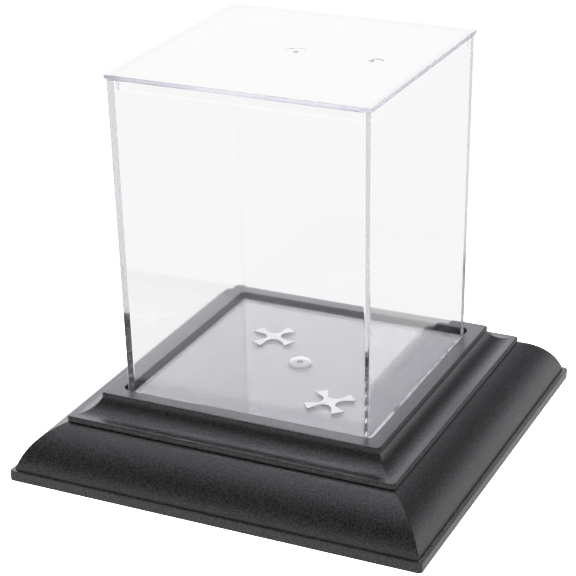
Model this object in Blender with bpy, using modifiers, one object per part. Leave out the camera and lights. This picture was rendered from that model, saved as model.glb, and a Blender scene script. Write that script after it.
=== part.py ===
"""A small display case: a clear square box with a lift-off lid, standing in a black stepped plinth.

Metres, +Z up. The origin is the middle of the plinth's foot, on the surface it stands on, and the
square sides face X and Y. The lid lifts off the case and the case lifts out of the plinth, both
straight up.
"""

import math

import bmesh
import bpy
from mathutils import Matrix, Vector

MM = 0.001
GAP = 0.3 * MM  # air between pieces that rest on each other
COLLECTION = "display_cube"

# Plinth, from the foot up: the half width and the height of each moulding
LIP_HALF = 83.5 * MM
LIP_TOP = 4.2 * MM
SLOPE_FOOT_HALF = 81.8 * MM
SLOPE_TOP_HALF = 66.4 * MM
SLOPE_TOP = 20.4 * MM
SLOPE_RADIUS = 24.0 * MM
STEP_HALF = 66.95 * MM
STEP_TOP = 22.8 * MM
COVE_FOOT_HALF = 64.6 * MM
COVE_RADIUS = 8.4 * MM
COVE_START = math.radians(22.0)  # the cove's lean from upright at its top
RIM_HALF = 57.1 * MM
RIM_TOP = 30.1 * MM
QUIRK = 0.4 * MM  # height of the fine groove under the step
ARC_STEPS = 12
PLAN_CORNER = 1.5 * MM  # rounding of the lip, step and rim seen from above
PLAN_CORNER_STEPS = 4
MITRE_SHARE = 0.3  # the slope's and cove's corners are this much as round
PLINTH_EDGE = 0.35 * MM
SHELL = 2.2 * MM

# Recess in the plinth's top, which the case stands in
RECESS_HALF = 51.1 * MM
RECESS_DEPTH = 4.0 * MM
RECESS_CORNER = 3.0 * MM
RECESS_CORNER_STEPS = 6

# Small stiffening webs up under the plinth's step, two to a side
WEB_THICK = 1.6 * MM
WEB_OFFSET = 30.0 * MM
WEB_INNER = 60.0 * MM
WEB_FOOT_Z = 14.5 * MM

# Clear case, whose walls lean outwards a little as they rise
CASE_TOP_HALF = 50.8 * MM
CASE_FOOT_HALF = 49.4 * MM
BORE_TOP_HALF = 48.4 * MM
BORE_FOOT_HALF = 47.4 * MM
CASE_HEIGHT = 125.8 * MM
CASE_FLOOR = 2.0 * MM
CLEAR_EDGE = 0.2 * MM

# Round gate nub in the middle of the case's floor
NUB_RADIUS = 4.7 * MM
NUB_CREST_RADIUS = 3.8 * MM
NUB_HEIGHT = 0.9 * MM
NUB_BOWL_DEPTH = 0.45 * MM
NUB_PIT_RADIUS = 1.3 * MM
NUB_PIT_DEPTH = 0.25 * MM
NUB_BOWL_STEPS = 5
NUB_SHOULDER_STEPS = 5
NUB_STEPS = 40

# Clear lid, with a skirt that drops inside the case's walls
LID_HALF = 51.5 * MM
LID_PLATE = 1.7 * MM
SKIRT_HALF = 48.0 * MM
SKIRT_WALL = 1.3 * MM
SKIRT_DEPTH = 4.3 * MM

# Two round moulding marks sunk in the lid's top, each with a stub: name, x, radius, stub x, stub radius
MARK_DEPTH = 0.3 * MM
MARKS = (
    ("gate_mark", 0.0, 4.4 * MM, 0.0, 1.1 * MM),
    ("pin_mark", 32.4 * MM, 3.0 * MM, 31.0 * MM, 0.9 * MM),
)
MARK_STEPS = 32

# White grip crosses on the case's floor: name, x, y and how far each is turned
CROSS_REACH = 9.5 * MM
CROSS_TIP_HALF = 2.6 * MM
CROSS_BITE = 4.4 * MM  # how far each bite's middle is from both of its arms' middle lines
CROSS_BITE_RADIUS = 3.4 * MM
CROSS_BITE_STEPS = 10
CROSS_THICK = 0.3 * MM
CROSSES = (
    ("grip_cross_back", -19.7 * MM, 17.7 * MM, math.radians(-23.0)),
    ("grip_cross_front", 24.4 * MM, -26.6 * MM, math.radians(42.5)),
)

# Heights where the pieces meet
RECESS_FLOOR_Z = RIM_TOP - RECESS_DEPTH
CASE_FOOT_Z = RECESS_FLOOR_Z + GAP
CASE_FLOOR_Z = CASE_FOOT_Z + CASE_FLOOR
CASE_TOP_Z = CASE_FOOT_Z + CASE_HEIGHT
LID_FOOT_Z = CASE_TOP_Z + GAP
LID_TOP_Z = LID_FOOT_Z + LID_PLATE

SIDES = 4
HALF_TO_CORNER = math.sqrt(2.0)  # a square's half width to its corner's radius
OVERRUN = 1.0 * MM  # how far a cutter or a joined piece runs past the face it meets
SHARP = math.radians(30.0)
MERGE = 0.00001


def clear_scene():
    for obj in list(bpy.data.objects):
        bpy.data.objects.remove(obj, do_unlink=True)


def new_collection(name):
    collection = bpy.data.collections.new(name)
    bpy.context.scene.collection.children.link(collection)
    return collection


def new_material(name, colour, roughness, transmission=0.0):
    surface = bpy.data.materials.new(name)
    surface.use_nodes = True
    shader = surface.node_tree.nodes["Principled BSDF"]
    shader.inputs["Base Color"].default_value = (*colour, 1.0)
    shader.inputs["Roughness"].default_value = roughness
    shader.inputs["Metallic"].default_value = 0.0
    shader.inputs["Transmission Weight"].default_value = transmission
    return surface


def add_object(name, data, collection, surface=None):
    obj = bpy.data.objects.new(name, data)
    if surface:
        data.materials.append(surface)
    collection.objects.link(obj)
    return obj


def add_helper(name, data, collection):
    """A cutter or a shape to join, which is no piece of its own."""
    obj = add_object(name, data, collection)
    obj.hide_render = True
    obj.display_type = "WIRE"
    return obj


def mesh_from(name, bm):
    mesh = bpy.data.meshes.new(name)
    bm.to_mesh(mesh)
    bm.free()
    return mesh


def bake_modifiers(obj):
    """Puts the evaluated mesh in place of the object's own mesh and modifiers."""
    bpy.context.view_layer.update()
    graph = bpy.context.evaluated_depsgraph_get()
    mesh = bpy.data.meshes.new_from_object(obj.evaluated_get(graph))
    obj.modifiers.clear()
    obj.data = mesh


def add_boolean(obj, other, operation):
    boolean = obj.modifiers.new(other.name, "BOOLEAN")
    boolean.operation = operation
    boolean.object = other


def add_soft_edges(obj, width, segments=2):
    bevel = obj.modifiers.new("soft_edges", "BEVEL")
    bevel.width = width
    bevel.segments = segments
    bevel.limit_method = "ANGLE"
    bevel.angle_limit = SHARP


def square_frustum(foot_half, top_half, foot_z, top_z):
    """A four-sided cone with its sides square to X and Y."""
    bm = bmesh.new()
    bmesh.ops.create_cone(
        bm,
        cap_ends=True,
        segments=SIDES,
        radius1=foot_half * HALF_TO_CORNER,
        radius2=top_half * HALF_TO_CORNER,
        depth=top_z - foot_z,
    )
    eighth_turn = Matrix.Rotation(math.pi / SIDES, 3, "Z")
    bmesh.ops.rotate(bm, verts=bm.verts, matrix=eighth_turn)
    bmesh.ops.translate(bm, verts=bm.verts, vec=(0, 0, (foot_z + top_z) / 2))
    return bm


def disc(x, radius, foot_z, top_z):
    bm = bmesh.new()
    bmesh.ops.create_cone(
        bm,
        cap_ends=True,
        segments=MARK_STEPS,
        radius1=radius,
        radius2=radius,
        depth=top_z - foot_z,
    )
    bmesh.ops.translate(bm, verts=bm.verts, vec=(x, 0, (foot_z + top_z) / 2))
    return bm


def box(low, high):
    bm = bmesh.new()
    bmesh.ops.create_cube(bm, size=1.0)
    size = Vector(high) - Vector(low)
    bmesh.ops.scale(bm, verts=bm.verts, vec=size)
    bmesh.ops.translate(bm, verts=bm.verts, vec=(Vector(high) + Vector(low)) / 2)
    return bm


def profile_mesh(name, points):
    """Joined points in the XZ plane, for a Screw modifier."""
    mesh = bpy.data.meshes.new(name)
    vertices = [(x, 0.0, z) for x, z in points]
    edges = [(i, i + 1) for i in range(len(points) - 1)]
    mesh.from_pydata(vertices, edges, [])
    return mesh


def add_turn(obj, steps):
    screw = obj.modifiers.new("turn", "SCREW")
    screw.steps = steps
    screw.render_steps = steps
    screw.use_merge_vertices = True
    screw.merge_threshold = MERGE
    screw.use_smooth_shade = False


def square_turn(obj):
    """Turns a profile of half widths in four steps, which makes a square with mitred corners."""
    add_turn(obj, SIDES)
    bake_modifiers(obj)
    stretch = Matrix.Diagonal((HALF_TO_CORNER, HALF_TO_CORNER, 1.0, 1.0))
    obj.data.transform(Matrix.Rotation(math.pi / SIDES, 4, "Z") @ stretch)


def arc(centre, radius, start, end, steps):
    """Points on a circle, with its angles in radians."""
    angles = [start + (end - start) * i / steps for i in range(steps + 1)]
    return [
        (centre[0] + radius * math.cos(a), centre[1] + radius * math.sin(a))
        for a in angles
    ]


def bulging_arc(start, end, radius, steps):
    """Points of the arc from start to end that bulges to the left of the way there."""
    chord = Vector(end) - Vector(start)
    middle = (Vector(end) + Vector(start)) / 2
    left = Vector((-chord.y, chord.x)).normalized()
    centre = middle - left * math.sqrt(radius**2 - (chord.length / 2) ** 2)
    first = math.atan2(start[1] - centre.y, start[0] - centre.x)
    last = math.atan2(end[1] - centre.y, end[0] - centre.x)
    return arc(centre, radius, first, last, steps)


def slope_points(inset):
    """The big rounded slope from its top down to its foot, moved in by inset for the shell's inside."""
    shift = inset / HALF_TO_CORNER
    return bulging_arc(
        (SLOPE_TOP_HALF - shift, SLOPE_TOP - shift),
        (SLOPE_FOOT_HALF - inset, LIP_TOP),
        SLOPE_RADIUS,
        ARC_STEPS,
    )


def plinth_outline():
    """Half widths and heights, from the middle of the recess over the rim and down to the foot."""
    cove_centre = (COVE_FOOT_HALF, STEP_TOP + COVE_RADIUS)
    cove = arc(cove_centre, COVE_RADIUS, math.pi + COVE_START, 1.5 * math.pi, ARC_STEPS)
    return [
        (0.0, RECESS_FLOOR_Z),
        (RECESS_HALF, RECESS_FLOOR_Z),
        (RECESS_HALF, RIM_TOP),
        (RIM_HALF, RIM_TOP),
        (RIM_HALF, cove[0][1]),
        *cove,
        (STEP_HALF, STEP_TOP),
        (STEP_HALF, SLOPE_TOP + QUIRK),
        *slope_points(0.0),
        (LIP_HALF, LIP_TOP),
        (LIP_HALF, 0.0),
        (0.0, 0.0),
    ]


def hollow_outline():
    """The space under the plinth, from the middle of its ceiling out and down past the foot."""
    slope = slope_points(SHELL)
    return [
        (0.0, RECESS_FLOOR_Z - SHELL),
        (RECESS_HALF, RECESS_FLOOR_Z - SHELL),
        (STEP_HALF - 2 * SHELL, slope[0][1]),
        *slope,
        (LIP_HALF - SHELL, LIP_TOP - SHELL),
        (LIP_HALF - SHELL, -OVERRUN),
        (0.0, -OVERRUN),
    ]


def round_plan_corners(mesh):
    """Rounds the plinth's corners as seen from above: more on its upright bands than on its mitres."""
    bm = bmesh.new()
    bm.from_mesh(mesh)
    weight = bm.edges.layers.float.new("bevel_weight_edge")
    recess = []
    for edge in bm.edges:
        low, high = sorted((v.co for v in edge.verts), key=lambda co: co.z)
        on_mitre = abs(abs(low.x) - abs(low.y)) < MERGE and abs(abs(high.x) - abs(high.y)) < MERGE
        if not on_mitre or high.z - low.z < MERGE:
            continue
        upright = abs(abs(high.x) - abs(low.x)) < MERGE
        if upright and abs(abs(high.x) - RECESS_HALF) < MERGE:
            recess.append(edge)
        else:
            edge[weight] = 1.0 if upright else MITRE_SHARE
    bmesh.ops.bevel(
        bm,
        geom=recess,
        offset=RECESS_CORNER,
        segments=RECESS_CORNER_STEPS,
        profile=0.5,
        affect="EDGES",
    )
    bm.to_mesh(mesh)
    bm.free()


def add_plan_corners(obj):
    round_plan_corners(obj.data)
    bevel = obj.modifiers.new("plan_corners", "BEVEL")
    bevel.width = PLAN_CORNER
    bevel.segments = PLAN_CORNER_STEPS
    bevel.limit_method = "WEIGHT"


def web_boxes():
    """Two upright webs on each of the four sides, square to the side."""
    webs = []
    for side in range(SIDES):
        for offset in (-WEB_OFFSET, WEB_OFFSET):
            web = box(
                (WEB_INNER, offset - WEB_THICK / 2, WEB_FOOT_Z),
                (LIP_HALF + OVERRUN, offset + WEB_THICK / 2, RIM_TOP),
            )
            turn = Matrix.Rotation(side * math.pi / 2, 3, "Z")
            bmesh.ops.rotate(web, verts=web.verts, matrix=turn)
            webs.append(web)
    return webs


def make_plinth(parts, helpers, surface):
    hollow = add_helper("plinth_hollow", profile_mesh("hollow", hollow_outline()), helpers)
    square_turn(hollow)
    for number, web in enumerate(web_boxes(), start=1):
        name = f"web_space_{number}"
        add_boolean(hollow, add_helper(name, mesh_from(name, web), helpers), "DIFFERENCE")

    plinth = add_object("plinth", profile_mesh("plinth", plinth_outline()), parts)
    square_turn(plinth)
    plinth.data.materials.append(surface)
    add_plan_corners(plinth)
    add_soft_edges(plinth, PLINTH_EDGE)
    add_boolean(plinth, hollow, "DIFFERENCE")
    return plinth


def nub_outline():
    """A low ring round a bowl with a pit in its middle, down past the floor that it stands on."""
    pit_z = NUB_HEIGHT - NUB_BOWL_DEPTH
    pit = [(0.0, pit_z - NUB_PIT_DEPTH), (NUB_PIT_RADIUS, pit_z)]
    bowl_width = NUB_CREST_RADIUS - NUB_PIT_RADIUS
    bowl = [
        (NUB_PIT_RADIUS + bowl_width * share, pit_z + NUB_BOWL_DEPTH * share**2)
        for share in (i / NUB_BOWL_STEPS for i in range(1, NUB_BOWL_STEPS))
    ]
    shoulder_width = NUB_RADIUS - NUB_CREST_RADIUS
    shoulder = [
        (NUB_CREST_RADIUS + shoulder_width * share, NUB_HEIGHT * (1 - share**1.5))
        for share in (i / NUB_SHOULDER_STEPS for i in range(NUB_SHOULDER_STEPS + 1))
    ]
    under = [(NUB_RADIUS, -CASE_FLOOR / 2), (0.0, -CASE_FLOOR / 2)]
    return [(r, CASE_FLOOR_Z + z) for r, z in pit + bowl + shoulder + under]


def make_case(parts, helpers, surface):
    walls = square_frustum(CASE_FOOT_HALF, CASE_TOP_HALF, CASE_FOOT_Z, CASE_TOP_Z)
    case = add_object("case", mesh_from("case", walls), parts, surface)

    lean = (BORE_TOP_HALF - BORE_FOOT_HALF) / (CASE_TOP_Z - CASE_FLOOR_Z)
    bore_top_half = BORE_TOP_HALF + lean * OVERRUN
    bore = square_frustum(BORE_FOOT_HALF, bore_top_half, CASE_FLOOR_Z, CASE_TOP_Z + OVERRUN)
    add_boolean(case, add_helper("case_bore", mesh_from("case_bore", bore), helpers), "DIFFERENCE")
    add_soft_edges(case, CLEAR_EDGE)

    nub = add_helper("gate_nub", profile_mesh("gate_nub", nub_outline()), helpers)
    add_turn(nub, NUB_STEPS)
    bake_modifiers(nub)
    add_boolean(case, nub, "UNION")
    return case


def make_lid(parts, helpers, surface):
    plate = square_frustum(LID_HALF, LID_HALF, LID_FOOT_Z, LID_TOP_Z)
    lid = add_object("lid", mesh_from("lid", plate), parts, surface)

    skirt_foot_z = LID_FOOT_Z - SKIRT_DEPTH
    skirt = square_frustum(SKIRT_HALF, SKIRT_HALF, skirt_foot_z, LID_FOOT_Z + LID_PLATE / 2)
    add_boolean(lid, add_helper("skirt", mesh_from("skirt", skirt), helpers), "UNION")
    inside_half = SKIRT_HALF - SKIRT_WALL
    inside = square_frustum(inside_half, inside_half, skirt_foot_z - OVERRUN, LID_FOOT_Z)
    inside_mesh = mesh_from("skirt_inside", inside)
    add_boolean(lid, add_helper("skirt_inside", inside_mesh, helpers), "DIFFERENCE")
    add_soft_edges(lid, CLEAR_EDGE)

    mark_floor_z = LID_TOP_Z - MARK_DEPTH
    for name, x, radius, stub_x, stub_radius in MARKS:
        dish = disc(x, radius, mark_floor_z, LID_TOP_Z + OVERRUN)
        add_boolean(lid, add_helper(name, mesh_from(name, dish), helpers), "DIFFERENCE")
        stub_name = name + "_stub"
        stub = disc(stub_x, stub_radius, LID_TOP_Z - LID_PLATE / 2, LID_TOP_Z)
        add_boolean(lid, add_helper(stub_name, mesh_from(stub_name, stub), helpers), "UNION")
    return lid


def cross_outline():
    """Four arms that flare from the round bites between them out to blunt tips."""
    tip = Vector((CROSS_REACH, CROSS_TIP_HALF))
    middle = Vector((CROSS_BITE, CROSS_BITE))
    way = tip - middle
    touch = math.atan2(way.y, way.x) - math.acos(CROSS_BITE_RADIUS / way.length)
    bite = arc(middle, CROSS_BITE_RADIUS, touch, -1.5 * math.pi - touch, CROSS_BITE_STEPS)
    arm = [Vector((tip.x, -tip.y)), tip] + [Vector(p) for p in bite]
    return [Matrix.Rotation(n * math.pi / 2, 2) @ p for n in range(4) for p in arm]


def make_cross(name, x, y, turn, parts, surface):
    curve = bpy.data.curves.new(name, "CURVE")
    curve.dimensions = "2D"
    curve.fill_mode = "BOTH"
    curve.extrude = CROSS_THICK / 2
    outline = cross_outline()
    spline = curve.splines.new("POLY")
    spline.points.add(len(outline) - 1)
    for point, place in zip(spline.points, outline):
        point.co = (place.x, place.y, 0.0, 1.0)
    spline.use_cyclic_u = True
    cross = add_object(name, curve, parts, surface)
    cross.location = (x, y, CASE_FLOOR_Z + GAP + CROSS_THICK / 2)
    cross.rotation_euler = (0.0, 0.0, turn)
    return cross


def shade(obj):
    """Smooth on rounded stretches, sharp on real edges."""
    obj.data.shade_smooth()
    obj.data.set_sharp_from_angle(angle=SHARP)


def main():
    clear_scene()
    parts = new_collection(COLLECTION)
    helpers = new_collection("helpers")
    black = new_material("black_plastic", (0.012, 0.012, 0.013), 0.42)
    clear = new_material("clear_plastic", (0.96, 0.97, 1.0), 0.02, transmission=1.0)
    white = new_material("white_foam", (0.86, 0.86, 0.88), 0.6)

    shade(make_plinth(parts, helpers, black))
    shade(make_case(parts, helpers, clear))
    shade(make_lid(parts, helpers, clear))
    for name, x, y, turn in CROSSES:
        make_cross(name, x, y, turn, parts, white)


main()
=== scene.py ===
"""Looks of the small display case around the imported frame: meshes, materials, studio and camera.

Metres, +Z up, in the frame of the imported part. The plinth, case, lid and grip crosses are each
remade as a fine mesh that stands for the plain CAD node.
"""

import math

import bmesh
import bpy
from mathutils import Matrix, Vector


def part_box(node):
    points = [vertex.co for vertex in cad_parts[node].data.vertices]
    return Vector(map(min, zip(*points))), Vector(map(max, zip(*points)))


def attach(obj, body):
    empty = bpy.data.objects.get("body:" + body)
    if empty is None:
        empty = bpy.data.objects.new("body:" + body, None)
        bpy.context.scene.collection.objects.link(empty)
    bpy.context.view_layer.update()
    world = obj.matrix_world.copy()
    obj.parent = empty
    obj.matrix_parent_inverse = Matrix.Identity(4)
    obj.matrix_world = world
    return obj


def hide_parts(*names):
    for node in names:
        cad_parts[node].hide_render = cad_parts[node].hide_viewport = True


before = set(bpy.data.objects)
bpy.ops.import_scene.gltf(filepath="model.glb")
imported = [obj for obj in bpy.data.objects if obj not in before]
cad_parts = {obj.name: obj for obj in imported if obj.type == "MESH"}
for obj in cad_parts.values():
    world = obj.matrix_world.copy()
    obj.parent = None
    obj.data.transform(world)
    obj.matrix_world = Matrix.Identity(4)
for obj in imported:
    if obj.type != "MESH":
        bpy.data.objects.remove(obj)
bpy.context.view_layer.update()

MM = 0.001

# Places read from the frame
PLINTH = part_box("plinth")[1]
CASE_FOOT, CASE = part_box("case")
LID_FOOT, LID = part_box("lid")

# Plinth, from the foot up: half widths and heights of its mouldings
LIP_TOP = 4.2 * MM
SLOPE_FOOT_HALF = PLINTH.x - 1.7 * MM
SLOPE_TOP_HALF = 66.4 * MM
SLOPE_TOP = 20.4 * MM
SLOPE_RADIUS = 24.0 * MM
STEP_HALF = 66.95 * MM
STEP_TOP = 22.8 * MM
COVE_FOOT_HALF = 64.6 * MM
COVE_RADIUS = 8.4 * MM
COVE_START = math.radians(22.0)  # the cove's lean from upright at its top
RIM_HALF = 57.1 * MM
QUIRK = 0.4 * MM  # height of the fine groove under the step
SHELL = 2.2 * MM
BAND_CORNER = 1.5 * MM  # the upright bands' rounding seen from above
MITRE_CORNER = 0.5 * MM
PLINTH_EDGE = 0.35 * MM
BAND_EDGE = 0.7 * MM  # the broader rounding along the top of the rim and the step
RECESS_HALF = 51.1 * MM
RECESS_DEPTH = 4.0 * MM
RECESS_CORNER = 3.0 * MM
WEB_THICK = 1.6 * MM
WEB_OFFSET = 30.0 * MM
WEB_INNER = 60.0 * MM
WEB_FOOT_Z = 14.5 * MM

# Clear case
CASE_FOOT_HALF = 49.4 * MM
BORE_TOP_HALF = CASE.x - 2.4 * MM
BORE_FOOT_HALF = CASE_FOOT_HALF - 2.0 * MM
CASE_FLOOR_Z = CASE_FOOT.z + 2.0 * MM
CASE_CORNER = 0.5 * MM
CASE_EDGE = 0.2 * MM
NUB_RADIUS = 4.7 * MM
NUB_CREST_RADIUS = 3.8 * MM
NUB_HEIGHT = 0.9 * MM
NUB_BOWL_DEPTH = 0.45 * MM
NUB_PIT_RADIUS = 1.3 * MM
NUB_PIT_DEPTH = 0.25 * MM
NUB_LIFT = 0.01 * MM

# Clear lid
LID_PLATE = 1.7 * MM
SKIRT_HALF = 48.0 * MM
SKIRT_WALL = 1.3 * MM
MARK_DEPTH = 0.3 * MM
GATE_RADIUS = 4.4 * MM
GATE_STUB_RADIUS = 1.1 * MM
PIN_X = 31.8 * MM
PIN_RADIUS = 2.8 * MM
PIN_LEAN = 0.8 * MM  # how far the mark's ring slopes in to its foot
PIN_STUB_X = 29.8 * MM
PIN_STUB_RADIUS = 1.2 * MM

# Grip crosses: four arms left between four round bites; the CAD node, and how far each is turned
CROSS_REACH = 9.5 * MM
CROSS_TIP_HALF = 2.6 * MM
CROSS_BITE = 4.4 * MM  # how far each bite's middle is from both of its arms' middle lines
CROSS_BITE_RADIUS = 3.4 * MM
CROSS_THICK = 0.3 * MM
CROSS_LIFT = 0.03 * MM
CROSS_EDGE = 0.05 * MM
CROSSES = (
    ("grip_cross_back", math.radians(-23.0)),
    ("grip_cross_front", math.radians(42.5)),
)

# Materials
BLACK_IOR = 1.54
CLEAR_IOR = 1.49
GRAIN_SCALE = 1800.0  # cells of the black plastic's spark-eroded grain in a metre
GRAIN_NOISE = (0.38, 0.62)  # where the noise starts and stops changing the shade
GRAIN_SHADES = (0.0, 0.042)
GRAIN_BUMP = 0.09 * MM
PATCH_SCALE = 60.0  # patches of slightly different gloss in a metre
PATCH_NOISE = (0.3, 0.7)
SATIN = (0.28, 0.32)  # the roughness runs between these
MATT = (0.50, 0.56)
MATT_SPECULAR = 0.15
FOAM_CELL_SCALE = 1800.0  # cells of the foam in a metre
FOAM_BUMP = 0.05 * MM
FOAM_GLOW_DEPTH = 1.0 * MM  # how far light spreads inside the foam

# Camera, fitted to the object's corners; angles in degrees
CAMERA_AZIMUTH = 25.4885
CAMERA_ELEVATION = 23.6121
CAMERA_ROLL = -1.0845
CAMERA_DISTANCE = 730.05 * MM
CAMERA_TARGET = (-4.09 * MM, -1.95 * MM, 59.92 * MM)
FIELD_OF_VIEW = 17.263
SENSOR_WIDTH = 36.0

# Studio: each softbox is its azimuth and elevation in degrees, how narrow it is, and its strength
SOFTBOXES = (
    (126.0, 27.0, 7.0, 2.7),
    (190.0, 80.0, 8.0, 1.7),
)
STUDIO_TINT = (0.98, 0.975, 1.045, 1.0)
ROOM_STRENGTH = 0.1
# What lights the clear pieces in place of the softboxes: a broad white wall behind the object
# and a light above it
TENTS = (
    (126.0, 24.0, 3.5, 2.1),
    (190.0, 85.0, 4.0, 1.8),
)
TENT_FILL = 0.75
SWEEP_HEIGHT = 0.3  # sine of the elevation where the bright sweep ends
SWEEP_STRENGTH = 1.4
TABLE_ALBEDO = 0.3
TABLE_GLOW = 0.85
# Scene light and what is shown for it: straight to 0.7, then rolled off like a camera's highlights
HIGHLIGHT_ROLL_OFF = ((0.35, 0.35), (0.7, 0.7), (0.9, 0.88), (1.1, 0.94), (1.5, 0.96))
SEEN_WHITE = 3.0  # strength of the table and studio where the camera sees them directly
CLEAR_BOUNCES = 96  # enough for light that runs along inside the clear walls
TABLE_HALF = 6.0  # half the table's width, which runs on past the camera's view

QUARTER = math.pi / 2
CORNER_STEPS = 12  # faces in each rounded corner of a ring
ARC_STEPS = 36
EDGE_STEPS = 5
MERGE = 0.001 * MM
SHARP = math.radians(30.0)
LEVEL = 0.9  # a face whose normal rises more than this counts as level
UPRIGHT = 0.5  # one whose normal rises less than this counts as upright
SLOPING = 0.97  # and less than this, as the sloping side of a moulding mark


# ---------- shapes ----------


def arc(centre, radius, start, end, steps):
    """Points on a circle, with its angles in radians."""
    angles = [start + (end - start) * i / steps for i in range(steps + 1)]
    return [
        (centre[0] + radius * math.cos(a), centre[1] + radius * math.sin(a)) for a in angles
    ]


def bulging_arc(start, end, radius, steps):
    """Points of the arc from start to end that bulges to the left of the way there."""
    chord = Vector(end) - Vector(start)
    middle = (Vector(end) + Vector(start)) / 2
    left = Vector((-chord.y, chord.x)).normalized()
    centre = middle - left * math.sqrt(radius**2 - (chord.length / 2) ** 2)
    first = math.atan2(start[1] - centre.y, start[0] - centre.x)
    last = math.atan2(end[1] - centre.y, end[0] - centre.x)
    return arc(centre, radius, first, last, steps)


def softened(outline):
    """An outline with its edges rounded.

    Each point is a half width, a height, a corner radius seen from above and an edge radius.
    """
    points = []
    for i, (x, z, corner, edge) in enumerate(outline):
        if edge <= 0:
            points.append((x, z, corner))
            continue
        here = Vector((x, z))
        back = (Vector(outline[i - 1][:2]) - here).normalized()
        on = (Vector(outline[i + 1][:2]) - here).normalized()
        half_angle = back.angle(on) / 2
        run = edge / math.tan(half_angle)
        centre = here + (back + on).normalized() * (edge / math.sin(half_angle))
        start = (here + back * run - centre).normalized()
        end = (here + on * run - centre).normalized()
        for step in range(EDGE_STEPS + 1):
            point = centre + start.slerp(end, step / EDGE_STEPS) * edge
            points.append((point.x, point.y, corner))
    return points


def ring(half, corner):
    """Points of a rounded square, or of a circle where the corner is as large as the half width."""
    corner = min(corner, half)
    points = []
    for quarter in range(4):
        turn = Matrix.Rotation(quarter * QUARTER, 2)
        for step in range(CORNER_STEPS + 1):
            angle = QUARTER * step / CORNER_STEPS
            x = half - corner + corner * math.cos(angle)
            y = half - corner + corner * math.sin(angle)
            points.append(turn @ Vector((x, y)))
    return points


def loft(outline):
    """A closed body through a rounded square at each point of an outline from middle to middle."""
    bm = bmesh.new()
    rings = [
        [bm.verts.new((p.x, p.y, z)) for p in ring(half, corner)] for half, z, corner in outline
    ]
    for lower, upper in zip(rings, rings[1:]):
        for i in range(len(lower)):
            j = (i + 1) % len(lower)
            bm.faces.new((lower[i], lower[j], upper[j], upper[i]))
    bmesh.ops.remove_doubles(bm, verts=bm.verts, dist=MERGE)
    bmesh.ops.recalc_face_normals(bm, faces=bm.faces)
    return bm


def box(low, high):
    bm = bmesh.new()
    bmesh.ops.create_cube(bm, size=1.0)
    bmesh.ops.scale(bm, verts=bm.verts, vec=Vector(high) - Vector(low))
    bmesh.ops.translate(bm, verts=bm.verts, vec=(Vector(high) + Vector(low)) / 2)
    return bm


def disc(x, radius, foot_z, top_z, lean=0.0):
    """An upright disc that widens by lean from its foot to its top."""
    foot = radius - lean
    outline = [(0.0, foot_z, 0.0), (foot, foot_z, foot), (radius, top_z, radius), (0.0, top_z, 0.0)]
    bm = loft(outline)
    bmesh.ops.translate(bm, verts=bm.verts, vec=(x, 0, 0))
    return bm


def add_object(name, bm, surface=None):
    mesh = bpy.data.meshes.new(name)
    bm.to_mesh(mesh)
    bm.free()
    obj = bpy.data.objects.new(name, mesh)
    if surface:
        mesh.materials.append(surface)
    bpy.context.scene.collection.objects.link(obj)
    return obj


def combine(obj, bm, operation):
    """Joins a shape to obj, or cuts it out."""
    other = add_object(obj.name + "_tool", bm)
    boolean = obj.modifiers.new("combine", "BOOLEAN")
    boolean.operation = operation
    boolean.object = other
    bake_modifiers(obj)
    bpy.data.objects.remove(other)


def bake_modifiers(obj):
    bpy.context.view_layer.update()
    graph = bpy.context.evaluated_depsgraph_get()
    mesh = bpy.data.meshes.new_from_object(obj.evaluated_get(graph))
    obj.modifiers.clear()
    obj.data = mesh


def shade_rounded(obj):
    """Smooth shading that keeps flats flat beside rounded edges."""
    obj.data.shade_smooth()
    obj.data.set_sharp_from_angle(angle=SHARP)
    weighted = obj.modifiers.new("flat_faces_stay_flat", "WEIGHTED_NORMAL")
    weighted.keep_sharp = True


def refinish(obj, surface, chosen):
    """Gives another material to the faces that a test of their middle and normal picks out."""
    obj.data.materials.append(surface)
    index = len(obj.data.materials) - 1
    for face in obj.data.polygons:
        if chosen(face.center, face.normal):
            face.material_index = index


def stand_for(obj, node, body):
    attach(obj, body)
    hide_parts(node)


# ---------- materials ----------


def new_surface(name):
    surface = bpy.data.materials.new(name)
    surface.use_nodes = True
    tree = surface.node_tree
    return surface, tree, tree.nodes["Principled BSDF"]


def add_node(tree, kind, **values):
    node = tree.nodes.new(kind)
    for name, value in values.items():
        node.inputs[name.replace("_", " ")].default_value = value
    return node


def add_bump(tree, shader, source, strength, distance):
    bump = add_node(tree, "ShaderNodeBump", Strength=strength, Distance=distance)
    tree.links.new(source, bump.inputs["Height"])
    tree.links.new(bump.outputs["Normal"], shader.inputs["Normal"])


def add_noise(tree, place, scale, detail=2.0):
    noise = add_node(tree, "ShaderNodeTexNoise", Scale=scale, Detail=detail)
    tree.links.new(place.outputs["Object"], noise.inputs["Vector"])
    return noise


def add_range(tree, source, low, high, to_low, to_high):
    spread = tree.nodes.new("ShaderNodeMapRange")
    tree.links.new(source, spread.inputs["Value"])
    names = ("From Min", "From Max", "To Min", "To Max")
    for name, value in zip(names, (low, high, to_low, to_high)):
        spread.inputs[name].default_value = value
    return spread.outputs["Result"]


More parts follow.
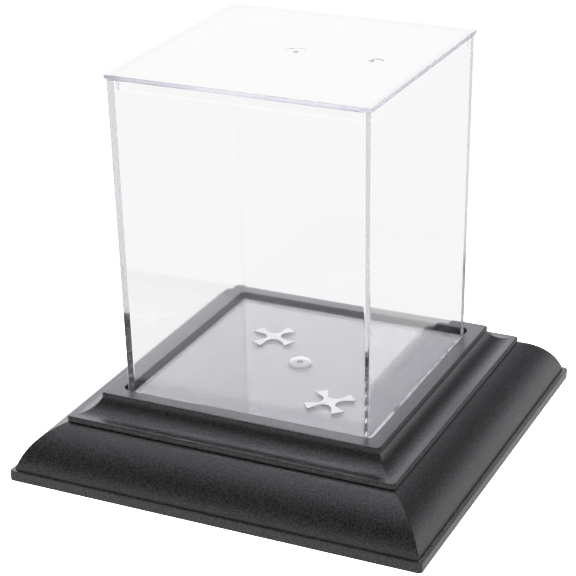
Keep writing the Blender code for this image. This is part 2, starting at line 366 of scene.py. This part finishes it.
def black_plastic(name, roughness, specular=0.5):
    """Black moulded plastic with a fine spark-eroded grain."""
    surface, tree, shader = new_surface(name)
    shader.inputs["IOR"].default_value = BLACK_IOR
    shader.inputs["Specular IOR Level"].default_value = specular
    place = tree.nodes.new("ShaderNodeTexCoord")
    grain = add_noise(tree, place, GRAIN_SCALE, 1.0).outputs["Fac"]
    shade = add_range(tree, grain, *GRAIN_NOISE, *GRAIN_SHADES)
    tree.links.new(shade, shader.inputs["Base Color"])
    patches = add_noise(tree, place, PATCH_SCALE).outputs["Fac"]
    gloss = add_range(tree, patches, *PATCH_NOISE, *roughness)
    tree.links.new(gloss, shader.inputs["Roughness"])
    add_bump(tree, shader, grain, 0.6, GRAIN_BUMP)
    return surface


def clear_plastic(name, colour, roughness, transmission=1.0):
    surface, tree, shader = new_surface(name)
    shader.inputs["Base Color"].default_value = colour
    shader.inputs["Roughness"].default_value = roughness
    shader.inputs["IOR"].default_value = CLEAR_IOR
    shader.inputs["Transmission Weight"].default_value = transmission
    return surface


def tinted_plastic():
    """The case's plastic, which greys what is seen along a wall but not what is behind it."""
    surface = clear_plastic("tinted_plastic", (1.0, 1.0, 1.0, 1.0), 0.04)
    tree = surface.node_tree
    grey = (0.25, 0.25, 0.3, 1.0)
    tint = add_node(tree, "ShaderNodeVolumeAbsorption", Color=grey, Density=5.0)
    tree.links.new(tint.outputs["Volume"], tree.nodes["Material Output"].inputs["Volume"])
    return surface


def white_foam():
    surface, tree, shader = new_surface("white_foam")
    place = tree.nodes.new("ShaderNodeTexCoord")
    shader.inputs["Base Color"].default_value = (0.96, 0.96, 0.97, 1.0)
    shader.inputs["Roughness"].default_value = 0.5
    shader.inputs["Subsurface Weight"].default_value = 0.5
    shader.inputs["Subsurface Radius"].default_value = (1.0, 1.0, 1.0)
    shader.inputs["Subsurface Scale"].default_value = FOAM_GLOW_DEPTH
    cells = add_noise(tree, place, FOAM_CELL_SCALE)
    add_bump(tree, shader, cells.outputs["Fac"], 0.3, FOAM_BUMP)
    return surface


# ---------- pieces ----------


def slope_points(inset):
    """The big rounded slope from its top to its foot, moved in by inset for the shell's inside."""
    shift = inset / math.sqrt(2)
    return bulging_arc(
        (SLOPE_TOP_HALF - shift, SLOPE_TOP - shift),
        (SLOPE_FOOT_HALF - inset, LIP_TOP),
        SLOPE_RADIUS,
        ARC_STEPS,
    )


def plinth_outline():
    """From the middle of the recess over the rim, down to the foot and back in along the hollow."""
    recess_floor = PLINTH.z - RECESS_DEPTH
    cove_centre = (COVE_FOOT_HALF, STEP_TOP + COVE_RADIUS)
    cove = arc(cove_centre, COVE_RADIUS, math.pi + COVE_START, 3 * QUARTER, ARC_STEPS)
    inside = slope_points(SHELL)
    return [
        (0.0, recess_floor, 0.0, 0.0),
        (RECESS_HALF, recess_floor, RECESS_CORNER, PLINTH_EDGE),
        (RECESS_HALF, PLINTH.z, RECESS_CORNER, PLINTH_EDGE),
        (RIM_HALF, PLINTH.z, BAND_CORNER, BAND_EDGE),
        (RIM_HALF, cove[0][1], BAND_CORNER, 0.0),
        *((x, z, MITRE_CORNER, 0.0) for x, z in cove),
        (STEP_HALF, STEP_TOP, BAND_CORNER, BAND_EDGE),
        (STEP_HALF, SLOPE_TOP + QUIRK, BAND_CORNER, QUIRK / 3),
        *((x, z, MITRE_CORNER, 0.0) for x, z in slope_points(0.0)),
        (PLINTH.x, LIP_TOP, BAND_CORNER, PLINTH_EDGE),
        (PLINTH.x, 0.0, BAND_CORNER, PLINTH_EDGE),
        (PLINTH.x - SHELL, 0.0, BAND_CORNER, PLINTH_EDGE),
        (PLINTH.x - SHELL, LIP_TOP - SHELL, BAND_CORNER, 0.0),
        *((x, z, MITRE_CORNER, 0.0) for x, z in reversed(inside)),
        (STEP_HALF - 2 * SHELL, inside[0][1], MITRE_CORNER, 0.0),
        (RECESS_HALF, recess_floor - SHELL, MITRE_CORNER, 0.0),
        (0.0, recess_floor - SHELL, 0.0, 0.0),
    ]


def add_webs(plinth):
    for side in range(4):
        for offset in (-WEB_OFFSET, WEB_OFFSET):
            web = box(
                (WEB_INNER, offset - WEB_THICK / 2, WEB_FOOT_Z),
                (SLOPE_TOP_HALF + SHELL, offset + WEB_THICK / 2, SLOPE_TOP - SHELL / 2),
            )
            bmesh.ops.rotate(web, verts=web.verts, matrix=Matrix.Rotation(side * QUARTER, 3, "Z"))
            combine(plinth, web, "UNION")


def on_recess_floor(middle, normal):
    """Whether a face is on the floor of the plinth's recess."""
    within = max(abs(middle.x), abs(middle.y)) < RECESS_HALF
    return within and normal.z > LEVEL and middle.z < PLINTH.z - RECESS_DEPTH / 2


def make_plinth(surface, recess_surface):
    plinth = add_object("plinth_moulding", loft(softened(plinth_outline())), surface)
    add_webs(plinth)
    refinish(plinth, recess_surface, on_recess_floor)
    shade_rounded(plinth)
    stand_for(plinth, "plinth", "plinth")


def nub_outline():
    """The gate nub from the middle of its foot, over its ring and down its bowl to the pit."""
    steps = [i / CORNER_STEPS for i in range(CORNER_STEPS + 1)]
    shoulder_width = NUB_RADIUS - NUB_CREST_RADIUS
    shoulder = [
        (NUB_CREST_RADIUS + shoulder_width * share, NUB_HEIGHT * (1 - share**1.5))
        for share in reversed(steps)
    ]
    pit_z = NUB_HEIGHT - NUB_BOWL_DEPTH
    bowl_width = NUB_CREST_RADIUS - NUB_PIT_RADIUS
    bowl = [
        (NUB_PIT_RADIUS + bowl_width * share, pit_z + NUB_BOWL_DEPTH * share**2)
        for share in reversed(steps[:-1])
    ]
    points = [(0.0, NUB_LIFT)] + shoulder + bowl + [(0.0, pit_z - NUB_PIT_DEPTH)]
    return [(r, CASE_FLOOR_Z + max(z, NUB_LIFT), r) for r, z in points]


def case_outline():
    """From under the middle of the floor, up the outside, over the rim and down the inside."""
    return [
        (0.0, CASE_FOOT.z, 0.0, 0.0),
        (CASE_FOOT_HALF, CASE_FOOT.z, CASE_CORNER, CASE_EDGE),
        (CASE.x, CASE.z, CASE_CORNER, CASE_EDGE),
        (BORE_TOP_HALF, CASE.z, CASE_CORNER, CASE_EDGE),
        (BORE_FOOT_HALF, CASE_FLOOR_Z, CASE_CORNER, CASE_EDGE),
        (0.0, CASE_FLOOR_Z, 0.0, 0.0),
    ]


def in_nub_pit(middle, normal):
    """Whether a face is in the pit in the middle of the nub."""
    return normal.z > 0 and math.hypot(middle.x, middle.y) < NUB_PIT_RADIUS


def make_case(surface):
    case = add_object("case_moulding", loft(softened(case_outline())), surface)
    stand_for(case, "case", "case")


def make_nub(surface, painted_shade_gate_surface):
    # Painted highlight: the nub's ring surface is part white diffuse so that it looks bright
    nub = add_object("case_gate_nub", loft(nub_outline()), surface)
    # Painted shade: the pit gets a grey colour to look dark
    refinish(nub, painted_shade_gate_surface, in_nub_pit)
    nub.data.shade_smooth()
    nub.data.set_sharp_from_angle(angle=SHARP)
    stand_for(nub, "case", "case")


def lid_outline():
    """From the gate stub in the middle of the top, over the edge, to the underside's middle."""
    underside = LID.z - LID_PLATE
    dish = LID.z - MARK_DEPTH
    skirt_in = SKIRT_HALF - SKIRT_WALL
    return [
        (0.0, LID.z, 0.0, 0.0),
        (GATE_STUB_RADIUS, LID.z, GATE_STUB_RADIUS, 0.0),
        (GATE_STUB_RADIUS, dish, GATE_STUB_RADIUS, 0.0),
        (GATE_RADIUS, dish, GATE_RADIUS, 0.0),
        (GATE_RADIUS, LID.z, GATE_RADIUS, 0.0),
        (LID.x, LID.z, CASE_CORNER, CASE_EDGE),
        (LID.x, underside, CASE_CORNER, CASE_EDGE),
        (SKIRT_HALF, underside, CASE_CORNER, CASE_EDGE),
        (SKIRT_HALF, LID_FOOT.z, CASE_CORNER, CASE_EDGE),
        (skirt_in, LID_FOOT.z, CASE_CORNER, CASE_EDGE),
        (skirt_in, underside, CASE_CORNER, CASE_EDGE),
        (0.0, underside, 0.0, 0.0),
    ]


def on_lid_border(middle, normal):
    """Whether a face is on the underside of the plate, outside the skirt."""
    outside = max(abs(middle.x), abs(middle.y)) > SKIRT_HALF
    return outside and normal.z < -UPRIGHT and middle.z > LID_FOOT.z + CASE_EDGE


def on_lid_edge(middle, normal):
    """Whether a face is on the upright edge of the lid's plate."""
    outside = max(abs(middle.x), abs(middle.y)) > LID.x - CASE_EDGE
    return outside and middle.z > LID.z - LID_PLATE


def on_gate_mark(middle, normal):
    """Whether a face is on the sheared stub or the side of either moulding mark on the lid."""
    if middle.z < LID.z - MARK_DEPTH - CASE_EDGE:
        return False
    from_gate = math.hypot(middle.x, middle.y)
    from_pin = math.hypot(middle.x - PIN_X, middle.y)
    from_pin_stub = math.hypot(middle.x - PIN_STUB_X, middle.y)
    in_mark = min(from_gate - GATE_RADIUS, from_pin - PIN_RADIUS) < CASE_EDGE
    on_side = in_mark and abs(normal.z) < SLOPING
    return on_side or from_gate < GATE_STUB_RADIUS or from_pin_stub < PIN_STUB_RADIUS


def make_lid(surface, painted_shade_edge_surface, painted_shade_border_surface, painted_shade_gate_surface):
    lid = add_object("lid_moulding", loft(softened(lid_outline())), surface)
    combine(lid, disc(PIN_X, PIN_RADIUS, LID.z - MARK_DEPTH, LID.z, PIN_LEAN), "DIFFERENCE")
    combine(lid, disc(PIN_STUB_X, PIN_STUB_RADIUS, LID.z - LID_PLATE / 2, LID.z), "UNION")
    # Painted shade on the plate's upright edge
    refinish(lid, painted_shade_edge_surface, on_lid_edge)
    # Painted shade on the border band under the plate
    refinish(lid, painted_shade_border_surface, on_lid_border)
    # Painted shade on the moulding marks and stubs
    refinish(lid, painted_shade_gate_surface, on_gate_mark)
    stand_for(lid, "lid", "lid")


def cross_points():
    """Outline of four arms that flare from the round bites between them to blunt tips."""
    tip = Vector((CROSS_REACH, CROSS_TIP_HALF))
    middle = Vector((CROSS_BITE, CROSS_BITE))
    way = tip - middle
    touch = math.atan2(way.y, way.x) - math.acos(CROSS_BITE_RADIUS / way.length)
    bite = arc(middle, CROSS_BITE_RADIUS, touch, -3 * QUARTER - touch, ARC_STEPS)
    arm = [Vector((tip.x, -tip.y)), tip] + [Vector(p) for p in bite]
    return [Matrix.Rotation(n * QUARTER, 2) @ p for n in range(4) for p in arm]


def make_cross(node, turn, surface):
    low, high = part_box(node)
    centre = (low + high) / 2
    foot_z = CASE_FLOOR_Z + CROSS_LIFT
    bm = bmesh.new()
    face = bm.faces.new([bm.verts.new((p.x, p.y, 0.0)) for p in cross_points()])
    grown = bmesh.ops.extrude_face_region(bm, geom=[face])["geom"]
    raised = [item for item in grown if isinstance(item, bmesh.types.BMVert)]
    bmesh.ops.translate(bm, verts=raised, vec=(0, 0, CROSS_THICK))
    bmesh.ops.recalc_face_normals(bm, faces=bm.faces)
    bmesh.ops.rotate(bm, verts=bm.verts, matrix=Matrix.Rotation(turn, 3, "Z"))
    bmesh.ops.translate(bm, verts=bm.verts, vec=(centre.x, centre.y, foot_z))
    cross = add_object(node.replace("cross", "pad"), bm, surface)
    bevel = cross.modifiers.new("pressed_edge", "BEVEL")
    bevel.width = CROSS_EDGE
    bevel.segments = 3
    bevel.limit_method = "ANGLE"
    bevel.angle_limit = 2 * SHARP
    stand_for(cross, node, "case")


# ---------- studio and camera ----------


def add_math(tree, operation, first, second=None, third=None):
    node = tree.nodes.new("ShaderNodeMath")
    node.operation = operation
    for i, value in enumerate((first, second, third)):
        if isinstance(value, (int, float)):
            node.inputs[i].default_value = value
        elif value is not None:
            tree.links.new(value, node.inputs[i])
    return node.outputs["Value"]


def add_softbox(tree, direction, azimuth, elevation, focus, strength):
    """Light that falls away smoothly around one direction of the studio."""
    azimuth, elevation = math.radians(azimuth), math.radians(elevation)
    dot = tree.nodes.new("ShaderNodeVectorMath")
    dot.operation = "DOT_PRODUCT"
    tree.links.new(direction, dot.inputs[0])
    dot.inputs[1].default_value = (
        math.cos(elevation) * math.cos(azimuth),
        math.cos(elevation) * math.sin(azimuth),
        math.sin(elevation),
    )
    facing = add_math(tree, "MAXIMUM", dot.outputs["Value"], 0.0)
    return add_math(tree, "MULTIPLY", add_math(tree, "POWER", facing, focus), strength)


def make_world():
    """A dim studio with softboxes and a bright sweep round the table."""
    world = bpy.data.worlds.new("studio")
    bpy.context.scene.world = world
    world.use_nodes = True
    tree = world.node_tree
    background = tree.nodes["Background"]
    background.inputs["Color"].default_value = STUDIO_TINT
    direction = tree.nodes.new("ShaderNodeTexCoord").outputs["Generated"]
    height = tree.nodes.new("ShaderNodeSeparateXYZ")
    tree.links.new(direction, height.inputs["Vector"])
    risen = add_math(tree, "DIVIDE", height.outputs["Z"], SWEEP_HEIGHT)
    sweep = add_math(tree, "MAXIMUM", add_math(tree, "SUBTRACT", 1.0, risen), 0.0)
    total = add_math(tree, "MULTIPLY_ADD", sweep, SWEEP_STRENGTH, ROOM_STRENGTH)
    path = tree.nodes.new("ShaderNodeLightPath")
    through_clear = path.outputs["Is Transmission Ray"]
    in_the_open = add_math(tree, "SUBTRACT", 1.0, through_clear)
    for softbox in SOFTBOXES:
        light = add_softbox(tree, direction, *softbox)
        total = add_math(tree, "MULTIPLY_ADD", light, in_the_open, total)
    total = add_math(tree, "MULTIPLY_ADD", through_clear, TENT_FILL, total)
    for tent in TENTS:
        light = add_softbox(tree, direction, *tent)
        total = add_math(tree, "MULTIPLY_ADD", light, through_clear, total)
    total = add_math(tree, "MULTIPLY_ADD", path.outputs["Is Camera Ray"], SEEN_WHITE, total)
    tree.links.new(total, background.inputs["Strength"])


def make_floor():
    """A white table, lit from inside so that it has next to no shadow."""
    bm = bmesh.new()
    bmesh.ops.create_grid(bm, x_segments=1, y_segments=1, size=TABLE_HALF)
    surface, tree, shader = new_surface("studio_floor")
    shader.inputs["Base Color"].default_value = (TABLE_ALBEDO, TABLE_ALBEDO, TABLE_ALBEDO, 1.0)
    shader.inputs["Roughness"].default_value = 1.0
    shader.inputs["Specular IOR Level"].default_value = 0.0
    shader.inputs["Emission Color"].default_value = (1.0, 1.0, 1.0, 1.0)
    seen = tree.nodes.new("ShaderNodeLightPath").outputs["Is Camera Ray"]
    glow = add_math(tree, "MULTIPLY_ADD", seen, SEEN_WHITE, TABLE_GLOW)
    tree.links.new(glow, shader.inputs["Emission Strength"])
    add_object("studio_floor", bm, surface)


def make_camera():
    """Looks at the object from its front right and a little above."""
    azimuth = math.radians(CAMERA_AZIMUTH)
    elevation = math.radians(CAMERA_ELEVATION)
    back = Vector(
        (
            math.sin(azimuth) * math.cos(elevation),
            -math.cos(azimuth) * math.cos(elevation),
            math.sin(elevation),
        )
    )
    data = bpy.data.cameras.new("camera")
    data.sensor_width = SENSOR_WIDTH
    data.lens = SENSOR_WIDTH / 2 / math.tan(math.radians(FIELD_OF_VIEW) / 2)
    camera = bpy.data.objects.new("camera", data)
    bpy.context.scene.collection.objects.link(camera)
    roll = Matrix.Rotation(math.radians(CAMERA_ROLL), 3, "Z")
    aim = back.to_track_quat("Z", "Y").to_matrix() @ roll
    place = Vector(CAMERA_TARGET) + back * CAMERA_DISTANCE
    camera.matrix_world = Matrix.Translation(place) @ aim.to_4x4()
    bpy.context.scene.camera = camera


def set_view():
    scene = bpy.context.scene
    view = scene.view_settings
    view.view_transform = "Standard"
    view.use_curve_mapping = True
    view.curve_mapping.white_level = (SEEN_WHITE, SEEN_WHITE, SEEN_WHITE)
    tone = view.curve_mapping.curves[3]
    for light, shown in HIGHLIGHT_ROLL_OFF:
        tone.points.new(light / SEEN_WHITE, shown)
    view.curve_mapping.update()
    scene.cycles.max_bounces = CLEAR_BOUNCES
    scene.cycles.glossy_bounces = CLEAR_BOUNCES
    scene.cycles.transmission_bounces = CLEAR_BOUNCES


black = black_plastic("black_plastic", SATIN)
matt_black = black_plastic("matt_black_plastic", MATT, MATT_SPECULAR)
tinted = tinted_plastic()
clear = clear_plastic("clear_plastic", (0.985, 0.985, 0.99, 1.0), 0.04)
# Grey on the lid's upright edge: painted shade for the dark edge line that light bending in the
# clear plate makes
clear_edge_painted_shade = clear_plastic("clear_plastic_painted_dark_edge", (0.42, 0.42, 0.46, 1.0), 0.3)
# Grey on the plate's underside border: painted shade for the grey band that the clear plate shows
# along its rim
clear_border_painted_shade = clear_plastic("clear_plastic_painted_grey_band", (0.72, 0.72, 0.74, 1.0), 0.2)
# A white diffuse share on the nub's ring: painted highlight for its bright look, which comes from
# light bending through the clear nub
clear_ring_painted_highlight = clear_plastic("clear_plastic_painted_bright_ring", (1.0, 1.0, 1.0, 1.0), 0.3, 0.85)
# Grey on the nub's pit and the lid's moulding marks and stubs: painted shade for their dark look,
# which comes from light bending in the clear plastic
clear_gate_painted_shade = clear_plastic("clear_plastic_painted_grey_gate", (0.35, 0.35, 0.37, 1.0), 0.4, 0.6)
white = white_foam()
make_plinth(black, matt_black)
make_case(tinted)
make_nub(clear_ring_painted_highlight, clear_gate_painted_shade)
make_lid(clear, clear_edge_painted_shade, clear_border_painted_shade, clear_gate_painted_shade)
for node, turn in CROSSES:
    make_cross(node, turn, white)
make_floor()
make_world()
make_camera()
set_view()
